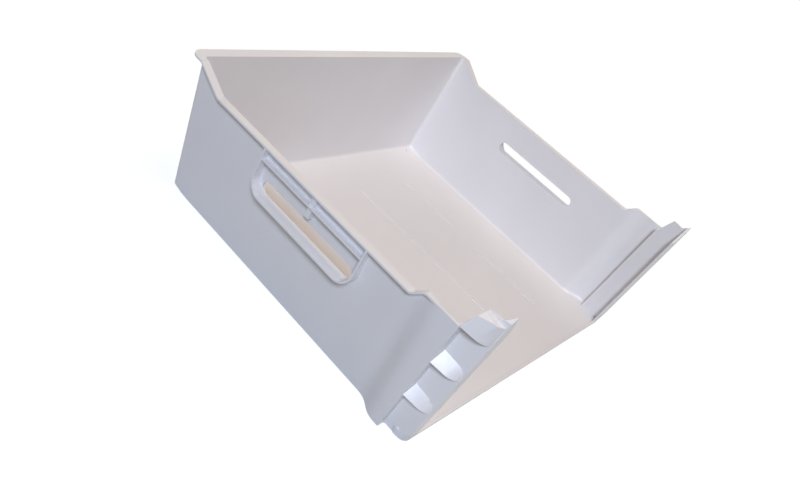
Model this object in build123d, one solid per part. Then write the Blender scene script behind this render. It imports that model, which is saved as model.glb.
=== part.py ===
from build123d import *

import os
from math import cos, radians, sin, sqrt, tan

# Tub of a freezer drawer, moulded in one piece. Millimetres and degrees.
# X is the width, +Y the back, +Z up; the origin is under the middle of the tub's box.
# The tub is modelled as its right half and mirrored.

# Overall
overall_width = 431.0
overall_depth = 365.5
horn_height = 162.0
wall = 2.4

# Floor and walls
floor_inset = 22.5
foot_radius = 4.0
side_draft = 6.8
back_lean = 2.1
back_corner = 6.0
lead_in_length = 28.0
lead_in_radius = 100.0

# Rim
rim_height = 124.0
back_rim_height = 141.0
shoulder_height = 134.0
rim_thickness = 1.8
back_rim_overhang = 9.0
rim_corner_radius = 12.0
rim_bend_radius = 6.0
back_rim_flat = 17.5
back_rim_slope = 30.0
shoulder_length = 36.0
shoulder_rise = 10.5
notch_setback = 1.0

# Widened front part of the side walls
bulge_draft = 4.0
flare_length = 31.0
flare_to_front = 29.0

# Front corner posts and the groove behind them
front_rake = 4.6
return_length = 24.0
groove_inset = 19.5
groove_draft = 2.2
post_inset = 20.0
post_draft = 0.9
post_face = 16.5

# Catch ramps in the groove
catch_rows = 2
catch_pitch = 44.0
catch_tilt = 9.0
catch_ramp = 12.0
catch_sink = 0.1
catch_bite = 0.4
catch_root = 1.9
catch_knee = 13.0
catch_lean = 2.5
catch_setback = 0.5

# Notch and peg at the foot of the groove
notch_height = 6.5
notch_length = 9.5
notch_depth = 1.0
notch_gap = 0.5
peg_diameter = 4.0
peg_stand = 1.4

# Rounded foot of each post
toe_radius = 8.0
toe_rise = 14.0

# Block and horn on top of each post
block_height = 154.0
block_edge_height = 149.0
block_setback = 7.0
block_length = 12.0
block_draw_in = 3.5
block_knee = 19.0
horn_tip_inset = 22.0
horn_inner_rise = 22.0
horn_outer_rise = 6.0

# Finger slots in the side walls, with a collar round each
slot_length = 117.0
slot_height = 13.5
slot_floor = 80.0
slot_from_back = 180.0
collar_wall = 1.8
collar_margin = 4.7
collar_radius = 16.0
handle_rib = 1.8
handle_rib_height = 112.0
handle_rib_setback = 0.6
handle_post_floor = 101.0
handle_post = 5.0
handle_post_setback = 2.2

# Floor details
bead_width = 3.0
bead_height = 0.8
bead_rows = ((33.0, 203.0), (117.0, 223.0))
bead_from_back = 74.5
lip_width = 2.6
lip_height = 1.4
drain_diameter = 2.6
drain_from_side = 12.0
drain_from_back = 5.5

overshoot = 20.0
top = horn_height + overshoot
rear_half = overall_width / 2
floor_width = overall_width - 2 * floor_inset
groove_width = overall_width - 2 * groove_inset
post_width = overall_width - 2 * post_inset
horn_tip_width = overall_width - 2 * horn_tip_inset
back_edge = overall_depth / 2
front_edge = -overall_depth / 2


def run(height: float, angle: float) -> float:
    """Sideways run of a face that leans by an angle over a height."""
    return height * tan(radians(angle))


# The rim keeps the same overhang on the leaning side wall, so it is narrower where it is lower
rim_half = rear_half - run(back_rim_height - rim_height, side_draft)


def side_half(z: float) -> float:
    """Outer face of the side wall."""
    return floor_width / 2 + run(z, side_draft)


def bulge_half(z: float) -> float:
    """Outer face of the widened wall, flush with the rim at the shoulder."""
    return rim_half - run(shoulder_height - z, bulge_draft)


def groove_half(z: float) -> float:
    """Floor of the groove, where it starts at the widened wall."""
    return groove_width / 2 + run(z, groove_draft)


def post_half(z: float) -> float:
    """Outer edge of the post's front face."""
    return post_width / 2 + run(z, post_draft)


def back_face(z: float) -> float:
    """Outer face of the back wall."""
    return back_edge - back_rim_overhang - run(back_rim_height - z, back_lean)


def front_face(z: float) -> float:
    """Front of the posts, which rakes forward."""
    return front_edge + run(horn_height - z, front_rake)


def wall_line(z: float) -> float:
    """Front edge of the widened wall, where the groove starts."""
    return front_face(z) + return_length


# Places along the depth
flare_end = front_face(0) + flare_to_front
flare_start = flare_end + flare_length
slope_start = back_edge - back_rim_flat
slope_end = slope_start - back_rim_slope
shoulder_front = wall_line(shoulder_height)
shoulder_back = shoulder_front + shoulder_length
shoulder_foot = shoulder_back + shoulder_rise
block_back = shoulder_front - block_setback
block_front = block_back - block_length
slot_y = back_edge - slot_from_back

# Top line of the rim in (Y, Z), back to front
rim_bends = [
    (back_edge + overshoot, back_rim_height),
    (slope_start, back_rim_height),
    (slope_end, rim_height),
    (shoulder_foot, rim_height),
    (shoulder_back, shoulder_height),
    (shoulder_front + notch_setback, shoulder_height),
]


def half_plan(z: float, skin: float, mouth: list) -> Face:
    """Right half of the plan at a height, drawn in by the skin and closed through the mouth's points."""
    back = back_face(z) - skin
    side = side_half(z) - skin
    bulge = bulge_half(z) - skin
    corner = back_corner - skin
    step = wall_line(z) + skin
    middle = (flare_start + flare_end) / 2
    edges = [
        Line((0, back), (side - corner, back)),
        RadiusArc((side - corner, back), (side, back - corner), corner),
        Line((side, back - corner), (side, flare_start)),
        Bezier((side, flare_start), (side, middle), (bulge, middle), (bulge, flare_end)),
        Polyline((bulge, flare_end), (bulge, step), (groove_half(z) - skin, step), *mouth),
        Line(mouth[-1], (0, back)),
    ]
    return Pos(0, 0, z) * make_face(edges)


def outer_plan(z: float) -> Face:
    """Plan of the tub's outside, with the groove run on past the front of the posts."""
    front = front_face(z) - overshoot
    edge = post_half(z) + (post_half(z) - groove_half(z)) * overshoot / return_length
    return half_plan(z, 0, [(edge, front), (0, front)])


def inner_plan(z: float) -> Face:
    """Plan of the tub's inside, which runs out through the open front between the posts."""
    front = front_face(z)
    inside = post_half(z) - wall
    edge = post_half(z) - post_face
    mouth = [(inside, front + wall), (edge, front + wall), (edge, front - overshoot), (0, front - overshoot)]
    return half_plan(z, wall, mouth)


def across(outline: Face, near: float, far: float) -> Part:
    """Outline drawn in (Y, Z), run across the width from near to far."""
    return Pos(near, 0, 0) * extrude(Plane.YZ * outline, far - near)


def rim_line(drop: float) -> Wire:
    """Line of the rim's top face, lowered by a drop."""
    return FilletPolyline(*[(y, z - drop) for y, z in rim_bends], radius=rim_bend_radius)


def sky() -> Part:
    """Everything above the rim, the block and the horn."""
    over_post = Polyline(
        rim_bends[-1],
        (block_back, block_height),
        (block_front, block_height),
        (front_edge, horn_height),
        (front_edge - overshoot, horn_height),
        (front_edge - overshoot, top + overshoot),
        (back_edge + overshoot, top + overshoot),
        rim_bends[0],
    )
    return across(make_face([rim_line(0), over_post]), -overshoot, rim_half + overshoot)


def ahead() -> Part:
    """Everything in front of the posts, up to their flat raked face."""
    low, high = -overshoot, top + overshoot
    far = front_edge - 2 * overshoot
    outline = Polyline((front_face(low), low), (front_face(high), high), (far, high), (far, low), close=True)
    return across(make_face(outline), -overshoot, rear_half)


def lead_in(lift: float) -> Part:
    """What lies under the floor where it curves up to the back wall, raised by a lift."""
    length = lead_in_length + overshoot
    start = back_face(0) - lead_in_length
    end = start + length
    climb = lead_in_radius - sqrt(lead_in_radius**2 - length**2)
    edges = [
        TangentArc((start, lift), (end, lift + climb), tangent=(1, 0)),
        Polyline((end, lift + climb), (end, lift - overshoot), (start, lift - overshoot), (start, lift)),
    ]
    return across(make_face(edges), -overshoot, rear_half)


def inside() -> Part:
    """Hollow of the tub, rounded where the floor meets the side and back walls."""
    hollow = loft([inner_plan(wall), inner_plan(top)], ruled=True) - lead_in(wall)
    foot = hollow.edges().sort_by_distance((side_half(wall) - wall, 0, wall))[0]
    return fillet(foot, foot_radius)


def rim_flange() -> Part:
    """Flange that runs outward round the top of the side and back walls."""
    ends = [Line((y, z), (y, z - rim_thickness)) for y, z in (rim_bends[0], rim_bends[-1])]
    band = make_face([rim_line(0), rim_line(rim_thickness), *ends])
    plan = make_face(Polyline(
        (0, shoulder_front),
        (rim_half, shoulder_front),
        (rim_half, slope_end),
        (rear_half, slope_start),
        (rear_half, back_edge),
        (0, back_edge),
        close=True,
    ))
    plan = fillet(plan.vertices().group_by(Axis.Y)[-1].sort_by(Axis.X)[-1], rim_corner_radius)
    return across(band, 0, rear_half) & extrude(plan, top)


def cup(length: float, floor: float, ceiling: float, radius: float) -> Sketch:
    """Upright outline over the finger slot, rounded at its two lower corners."""
    block = Pos(slot_y, (floor + ceiling) / 2) * Rectangle(length, ceiling - floor)
    return fillet(block.vertices().group_by(Axis.Y)[0], radius)


def handle() -> Part:
    """Collar round the finger slot, out to the rim's edge, with its two ribs."""
    root = side_half(0)
    under_rim = rim_height - rim_thickness
    inner_length = slot_length + 2 * collar_margin
    outline = cup(inner_length + 2 * collar_wall, slot_floor - collar_wall, under_rim, collar_radius)
    outline -= cup(inner_length, slot_floor, top, collar_radius - collar_wall)
    long_rib = Pos(slot_y, handle_rib_height) * Rectangle(inner_length, handle_rib)
    post_height = under_rim - handle_post_floor
    post = Pos(slot_y, under_rim - post_height / 2) * Rectangle(handle_post, post_height)
    ribs = across(long_rib, root, rim_half - handle_rib_setback)
    ribs += across(post, root, rim_half - handle_post_setback)
    return across(outline, root, rim_half) + ribs


def finger_slot() -> Part:
    """Round-ended slot through the side wall."""
    outline = Pos(slot_y, slot_floor + slot_height / 2) * SlotOverall(slot_length, slot_height)
    return across(outline, side_half(0) - overshoot, rim_half + overshoot)


def catch_section(level: float, lift: float, share: float, bend: float, rounded: bool) -> Face:
    """Section of a catch, kneed at the bend; share 1 is flush with the wall, 0 with the groove's floor."""
    tilt = radians(catch_tilt)
    depth = (return_length - catch_setback) / (cos(tilt) + sin(tilt) * tan(radians(front_rake)))
    height = level + lift
    plane = Plane((0, wall_line(height), height), (1, 0, 0), (0, -sin(tilt), cos(tilt)))
    groove, post = groove_half(level), post_half(level)
    stand = bulge_half(level) - groove
    floor_at_knee = groove + (post - groove) * bend / depth
    start = (groove + share * stand, 0)
    knee = (floor_at_knee + share * (stand - catch_lean), -bend)
    end = (post - catch_bite, -depth)
    lead = (knee[0] - start[0], knee[1] - start[1])
    edges = [
        Line(start, knee),
        TangentArc(knee, end, tangent=lead) if rounded else Line(knee, end),
        Polyline(end, (post - catch_root, -depth), (groove - catch_root, 0), start),
    ]
    return plane * make_face(edges)


def catch(level: float) -> Part:
    """Ramp that starts flush with the widened wall and runs up into the groove's floor."""
    foot = catch_section(level, 0, 1, catch_knee, True)
    return loft([foot, catch_section(level, catch_ramp, -catch_sink, catch_knee, False)], ruled=True)


def block() -> Part:
    """Block above the top catch; its head is cut to height later."""
    foot = catch_section(shoulder_height, 0, 1, catch_knee, True)
    head = 1 - block_draw_in / (bulge_half(shoulder_height) - groove_half(shoulder_height))
    return loft([foot, catch_section(shoulder_height, overshoot, head, block_knee, False)], ruled=True)


def foot_notch() -> Part:
    """Shallow notch along the foot of the groove, in front of the widened wall."""
    back = wall_line(notch_height) - notch_gap
    outline = Pos(back - notch_length / 2, 0) * Rectangle(notch_length, 2 * notch_height)
    return across(outline, groove_half(0) - notch_depth, rim_half)


def peg() -> Part:
    """Small peg at the front end of the notch."""
    front = wall_line(notch_height) - notch_gap - notch_length
    outline = Pos(front - peg_diameter / 2, notch_height) * Circle(peg_diameter / 2)
    return across(outline, groove_half(0) - wall / 2, groove_half(0) + peg_stand)


def toe() -> Part:
    """What is cut from the foot of the post to round it in plan, running out higher up."""
    side, front = post_half(0), front_face(0)
    edges = [
        RadiusArc((side, front + toe_radius), (side - toe_radius, front), toe_radius),
        Polyline(
            (side - toe_radius, front),
            (side - toe_radius, front - toe_radius),
            (side + toe_radius, front - toe_radius),
            (side + toe_radius, front + toe_radius),
            (side, front + toe_radius),
        ),
    ]
    return loft([make_face(edges), Vertex(post_half(toe_rise), front_face(toe_rise), toe_rise)])


def horn_trim() -> Part:
    """What is cut away beside and above the pointed horn, seen from the front."""
    tip = horn_tip_width / 2
    foot = post_half(horn_height) - post_face
    outer = post_half(horn_height)
    line = [
        (foot - overshoot, horn_height - horn_inner_rise),
        (foot, horn_height - horn_inner_rise),
        (tip, horn_height),
        (outer, horn_height - horn_outer_rise),
        (rim_half - block_draw_in, block_edge_height),
        (rim_half + overshoot, block_edge_height),
        (rim_half + overshoot, top + overshoot),
        (foot - overshoot, top + overshoot),
    ]
    outline = Plane.XZ * make_face(Polyline(*line, close=True))
    return Pos(0, shoulder_front, 0) * extrude(outline, shoulder_front - front_edge + overshoot)


def beads() -> Part:
    """Raised lines along the floor."""
    rows = [
        Pos(x, back_edge - bead_from_back - length / 2) * SlotOverall(length, bead_width, rotation=90)
        for x, length in bead_rows
    ]
    return Pos(0, 0, wall / 2) * extrude(Sketch() + rows, wall / 2 + bead_height)


def front_lip() -> Part:
    """Low lip along the floor's front edge."""
    back = front_face(0) + lip_width
    front = front_edge - overshoot
    outline = Pos((back + front) / 2, (wall + lip_height) / 2) * Rectangle(back - front, wall + lip_height)
    return across(outline, 0, post_half(0) - wall / 2)


def drain() -> Part:
    """Small hole in the back corner of the floor."""
    x = side_half(0) - wall - drain_from_side
    y = back_face(0) - wall - drain_from_back
    return Pos(x, y, 0) * Cylinder(drain_diameter / 2, overshoot)


body = loft([outer_plan(0), outer_plan(top)], ruled=True) - lead_in(0) - ahead()

half = body + block() - sky()
half += rim_flange()
half += handle()
for row in range(catch_rows):
    half += catch(shoulder_height - (row + 1) * catch_pitch)
half += peg()
half -= inside()
half += front_lip() & body
half += beads()
half -= finger_slot() + horn_trim() + foot_notch() + toe() + drain()
tub = half + mirror(half, Plane.YZ)

os.makedirs("parts", exist_ok=True)
export_step(tub, "parts/drawer_tub.step")
print(tub.volume, tub.bounding_box(), len(tub.solids()))
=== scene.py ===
import logging
from dataclasses import dataclass, field
from enum import Enum
from math import radians
from typing import Any

import bpy
from mathutils import Matrix, Vector


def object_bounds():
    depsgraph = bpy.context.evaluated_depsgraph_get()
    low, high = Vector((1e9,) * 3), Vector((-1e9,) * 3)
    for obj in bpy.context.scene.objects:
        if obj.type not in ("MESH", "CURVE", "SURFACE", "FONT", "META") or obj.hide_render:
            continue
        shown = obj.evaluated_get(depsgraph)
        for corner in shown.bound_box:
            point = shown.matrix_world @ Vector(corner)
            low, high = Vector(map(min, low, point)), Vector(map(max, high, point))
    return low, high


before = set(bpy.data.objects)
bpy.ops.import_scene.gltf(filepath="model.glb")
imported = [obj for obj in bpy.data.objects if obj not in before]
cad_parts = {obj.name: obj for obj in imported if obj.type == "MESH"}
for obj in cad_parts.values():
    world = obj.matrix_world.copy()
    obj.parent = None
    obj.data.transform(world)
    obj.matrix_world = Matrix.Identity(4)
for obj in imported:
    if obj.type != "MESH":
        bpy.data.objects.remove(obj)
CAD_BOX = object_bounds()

# Looks of a freezer drawer's moulded tub: one white plastic shell with softened edges on a white floor.
# Metres in the frame, with X the width, +Y the back and +Z up.

LOG = logging.getLogger("freezer_drawer")
MM = 0.001
WHITE = (1.0, 1.0, 1.0, 1.0)


class Body(Enum):
    """Bodies of the part that pieces ride on."""

    TUB = "root"


class Slot(Enum):
    """Material slots of the part's record."""

    TUB_PLASTIC = "tub_plastic"


class LampRole(Enum):
    """Lamps of the studio, named for what they do."""

    WINDOW = "window_light"
    CEILING = "ceiling_light"
    BACK_FILL = "back_fill"


def linear(hex_colour: str) -> tuple[float, float, float, float]:
    """Turn an sRGB hex colour into linear light.

    Args:
        hex_colour: six hex digits after a hash sign.

    Returns:
        Red, green, blue and an alpha of 1.
    """
    channels = [int(hex_colour[i:i + 2], 16) / 255 for i in (1, 3, 5)]
    red, green, blue = (c / 12.92 if c <= 0.04045 else ((c + 0.055) / 1.055) ** 2.4 for c in channels)
    return red, green, blue, 1.0


def add_node(tree: bpy.types.NodeTree, kind: str, settings: dict[str, Any], inputs: dict[Any, Any]) -> Any:
    """Add a node with its settings, plain input values and links.

    Args:
        tree: node tree that takes the node.
        kind: Blender's name of the node type.
        settings: attributes of the node.
        inputs: sockets by name or number, each with a value or with the output that feeds it.

    Returns:
        The new node.
    """
    node = tree.nodes.new(kind)
    for name, value in settings.items():
        setattr(node, name, value)
    for socket, value in inputs.items():
        if isinstance(value, bpy.types.NodeSocket):
            tree.links.new(value, node.inputs[socket])
        else:
            node.inputs[socket].default_value = value
    return node


def per_metre(size_mm: float) -> float:
    """Scale a texture to features of a real size.

    Args:
        size_mm: size at which the features repeat.

    Returns:
        Repeats in a metre.
    """
    return 1 / (size_mm * MM)


def seen_directly(tree: bpy.types.NodeTree) -> bpy.types.NodeSocket:
    """Tell rays that carry the picture from those that carry light.

    Args:
        tree: node tree that takes the nodes.

    Returns:
        An output of 1 for camera, glossy and transmission rays.
    """
    path = add_node(tree, "ShaderNodeLightPath", {}, {}).outputs
    mirrored = add_node(tree, "ShaderNodeMath", {"operation": "MAXIMUM"}, {
        0: path["Is Glossy Ray"], 1: path["Is Transmission Ray"],
    })
    return add_node(tree, "ShaderNodeMath", {"operation": "MAXIMUM"}, {
        0: path["Is Camera Ray"], 1: mirrored.outputs[0],
    }).outputs[0]


@dataclass(frozen=True)
class MouldedPolystyrene:
    """High-impact polystyrene, injection moulded in a finely eroded tool.

    The eye gets a cool white, nearly opaque skin with a soft satin gloss. Its tone drifts a little where the
    melt flowed and cooled, and its gloss drifts where hands and trays have rubbed it.
    """

    name: str = "moulded_high_impact_polystyrene"
    pale: str = "#E9E8EA"
    dull: str = "#DEDDDF"
    ior: float = 1.59
    roughness: float = 0.42
    rubbed_roughness: float = 0.33
    flow_mm: float = 110.0
    flow_detail: float = 3.0
    flow_swirl: float = 0.6
    rub_mm: float = 26.0
    rub_detail: float = 5.0
    rub_roughness: float = 0.62
    rub_range: tuple[float, float] = (0.35, 0.65)
    # The tool's real grit of about 0.1 mm is too fine for the picture, so it is drawn this coarse
    grit_mm: float = 0.9
    grit_detail: float = 2.0
    grit_depth_mm: float = 0.012

    def build(self) -> bpy.types.Material:
        """Make the material's nodes.

        Returns:
            The finished material.
        """
        material = bpy.data.materials.new(self.name)
        material.use_nodes = True
        tree = material.node_tree
        tree.nodes.clear()
        place = add_node(tree, "ShaderNodeTexCoord", {}, {}).outputs["Object"]
        flow = add_node(tree, "ShaderNodeTexNoise", {}, {
            "Vector": place, "Scale": per_metre(self.flow_mm), "Detail": self.flow_detail,
            "Distortion": self.flow_swirl,
        })
        rub = add_node(tree, "ShaderNodeTexNoise", {}, {
            "Vector": place, "Scale": per_metre(self.rub_mm), "Detail": self.rub_detail,
            "Roughness": self.rub_roughness,
        })
        grit = add_node(tree, "ShaderNodeTexNoise", {}, {
            "Vector": place, "Scale": per_metre(self.grit_mm), "Detail": self.grit_detail,
        })
        tone = add_node(tree, "ShaderNodeMix", {"data_type": "RGBA"}, {
            0: flow.outputs["Fac"], 6: linear(self.dull), 7: linear(self.pale),
        })
        gloss = add_node(tree, "ShaderNodeMapRange", {}, {
            "Value": rub.outputs["Fac"], "From Min": self.rub_range[0], "From Max": self.rub_range[1],
            "To Min": self.rubbed_roughness, "To Max": self.roughness,
        })
        bump = add_node(tree, "ShaderNodeBump", {}, {
            "Strength": 1.0, "Distance": self.grit_depth_mm * MM, "Height": grit.outputs["Fac"],
        })
        shader = add_node(tree, "ShaderNodeBsdfPrincipled", {}, {
            "Base Color": tone.outputs[2], "Roughness": gloss.outputs["Result"], "IOR": self.ior,
            "Normal": bump.outputs["Normal"],
        })
        add_node(tree, "ShaderNodeOutputMaterial", {}, {"Surface": shader.outputs["BSDF"]})
        return material


@dataclass(frozen=True)
class StudioWhite:
    """Matt white paper: it reads as plain white, holds a soft shadow and fades to pure white far off."""

    name: str = "matt_white_paper"
    colour: str = "#9BA0A4"
    near_glow: float = 0.77
    near: float = 0.5
    far: float = 1.5

    def build(self) -> bpy.types.Material:
        """Make the floor's material, lifted to white where the eye or a mirror sees it.

        Returns:
            The finished material.
        """
        material = bpy.data.materials.new(self.name)
        material.use_nodes = True
        tree = material.node_tree
        tree.nodes.clear()
        paper = add_node(tree, "ShaderNodeBsdfDiffuse", {}, {"Color": linear(self.colour)})
        place = add_node(tree, "ShaderNodeTexCoord", {}, {}).outputs["Object"]
        reach = add_node(tree, "ShaderNodeVectorMath", {"operation": "LENGTH"}, {0: place})
        glow = add_node(tree, "ShaderNodeMapRange", {}, {
            "Value": reach.outputs["Value"], "From Min": self.near, "From Max": self.far,
            "To Min": self.near_glow,
        })
        lift = add_node(tree, "ShaderNodeEmission", {}, {
            "Color": WHITE, "Strength": glow.outputs["Result"],
        })
        lifted = add_node(tree, "ShaderNodeAddShader", {}, {0: paper.outputs[0], 1: lift.outputs[0]})
        shown = seen_directly(tree)
        mix = add_node(tree, "ShaderNodeMixShader", {}, {0: shown, 1: paper.outputs[0], 2: lifted.outputs[0]})
        add_node(tree, "ShaderNodeOutputMaterial", {}, {"Surface": mix.outputs[0]})
        return material


@dataclass
class DrawerTub:
    """The moulded tub with its posts, slots and rim."""

    node: str = "drawer_tub"
    finish: MouldedPolystyrene = field(default_factory=MouldedPolystyrene)
    weld_mm: float = 0.002
    flat_angle: float = 0.4
    edge_angle: float = 28.0
    edge_radius_mm: float = 0.45
    edge_steps: int = 2

    def soften_edges(self, shell: bpy.types.Object) -> None:
        """Round the sharp edges a little, as a mould leaves them.

        Args:
            shell: object of the tub.
        """
        weld = shell.modifiers.new("joined_faces", "WELD")
        weld.merge_threshold = self.weld_mm * MM
        flat = shell.modifiers.new("plain_faces", "DECIMATE")
        flat.decimate_type = "DISSOLVE"
        flat.angle_limit = radians(self.flat_angle)
        edge = shell.modifiers.new("moulded_edges", "BEVEL")
        edge.limit_method = "ANGLE"
        edge.angle_limit = radians(self.edge_angle)
        edge.width = self.edge_radius_mm * MM
        edge.segments = self.edge_steps
        edge.miter_outer = "MITER_ARC"
        edge.use_clamp_overlap = True
        smooth = shell.modifiers.new("even_shading", "WEIGHTED_NORMAL")
        smooth.keep_sharp = True

    def dress(self) -> bpy.types.Object:
        """Give the tub its finish and softened edges.

        Returns:
            The dressed object.
        """
        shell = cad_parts[self.node]
        shell.data.materials.clear()
        shell.data.materials.append(self.finish.build())
        self.soften_edges(shell)
        return shell


@dataclass(frozen=True)
class Lamp:
    """A soft box that looks at the tub; one that isn't mirrored leaves no highlight."""

    role: LampRole
    colour: str
    watts: float
    place: tuple[float, float, float]
    size: float
    mirrored: bool = True

    def build(self, target: Vector) -> bpy.types.Object:
        """Hang the lamp and turn it to a target.

        Args:
            target: point that the lamp looks at.

        Returns:
            The lamp's object.
        """
        data = bpy.data.lights.new(self.role.value, "AREA")
        data.shape = "DISK"
        data.size = self.size
        data.energy = self.watts
        data.color = linear(self.colour)[:3]
        lamp = bpy.data.objects.new(self.role.value, data)
        lamp.location = self.place
        lamp.visible_glossy = self.mirrored
        lamp.rotation_euler = (target - Vector(self.place)).to_track_quat("-Z", "Y").to_euler()
        bpy.context.scene.collection.objects.link(lamp)
        return lamp


@dataclass(frozen=True)
class PhotoCamera:
    """Camera at the photograph's place; heading is from +Y towards +X, dip is below the horizon."""

    place: tuple[float, float, float] = (-0.67264, -0.29311, 0.45008)
    heading: float = 65.618
    dip: float = 31.197
    roll: float = 31.515
    sensor_mm: float = 36.0
    lens_mm: float = 35.773

    def build(self) -> bpy.types.Object:
        """Set up the camera and make it the scene's own.

        Returns:
            The camera's object.
        """
        data = bpy.data.cameras.new("photo_camera")
        data.sensor_fit = "HORIZONTAL"
        data.sensor_width = self.sensor_mm
        data.lens = self.lens_mm
        camera = bpy.data.objects.new("photo_camera", data)
        turns = ((-self.heading, "Z"), (90 - self.dip, "X"), (self.roll, "Z"))
        camera.matrix_world = Matrix.Translation(self.place)
        for angle, axis in turns:
            camera.matrix_world @= Matrix.Rotation(radians(angle), 4, axis)
        bpy.context.scene.collection.objects.link(camera)
        bpy.context.scene.camera = camera
        return camera


@dataclass
class Studio:
    """White floor, soft lamps and the sky around the tub."""

    floor_half: float = 12.0
    floor_drop_mm: float = 0.2
    sky: str = "#FFF0DC"
    sky_level: float = 0.14
    lamps: tuple[Lamp, ...] = (
        Lamp(LampRole.WINDOW, "#DFEAFF", 68.0, (-2.1, -1.13, 2.12), 0.7),
        Lamp(LampRole.CEILING, "#FFDAA2", 22.0, (0.0, -0.6, 2.7), 1.4),
        Lamp(LampRole.BACK_FILL, "#EEF3FF", 32.0, (2.2, 2.0, 0.65), 1.0, mirrored=False),
    )

    def lay_floor(self) -> bpy.types.Object:
        """Lay the floor just under the tub.

        Returns:
            The floor's object.
        """
        half, level = self.floor_half, CAD_BOX[0][2] - self.floor_drop_mm * MM
        corners = [(-half, -half, level), (half, -half, level), (half, half, level), (-half, half, level)]
        mesh = bpy.data.meshes.new("studio_floor")
        mesh.from_pydata(corners, [], [(0, 1, 2, 3)])
        mesh.materials.append(StudioWhite().build())
        floor = bpy.data.objects.new("studio_floor", mesh)
        bpy.context.scene.collection.objects.link(floor)
        return floor

    def light_sky(self) -> None:
        """Fill the surroundings with even light and show them as plain white."""
        world = bpy.data.worlds.new("studio_sky")
        world.use_nodes = True
        tree = world.node_tree
        tree.nodes.clear()
        air = add_node(tree, "ShaderNodeBackground", {}, {
            "Color": linear(self.sky), "Strength": self.sky_level,
        })
        white = add_node(tree, "ShaderNodeBackground", {}, {"Color": WHITE, "Strength": 1.0})
        mix = add_node(tree, "ShaderNodeMixShader", {}, {
            0: seen_directly(tree), 1: air.outputs[0], 2: white.outputs[0],
        })
        add_node(tree, "ShaderNodeOutputWorld", {}, {"Surface": mix.outputs[0]})
        bpy.context.scene.world = world

    def build(self) -> None:
        """Set the floor, the sky and the lamps."""
        low, high = Vector(CAD_BOX[0]), Vector(CAD_BOX[1])
        self.lay_floor()
        self.light_sky()
        for lamp in self.lamps:
            lamp.build((low + high) / 2)
            LOG.info("lamp %s", lamp.role.value)


def main() -> None:
    """Dress the tub, light it and place the camera."""
    logging.basicConfig(level=logging.INFO, format="%(name)s: %(message)s")
    bpy.context.scene.view_settings.view_transform = "Standard"
    tub = DrawerTub().dress()
    LOG.info("piece %s rides on %s", tub.name, Body.TUB.value)
    Studio().build()
    PhotoCamera().build()


if __name__ == "__main__":
    main()
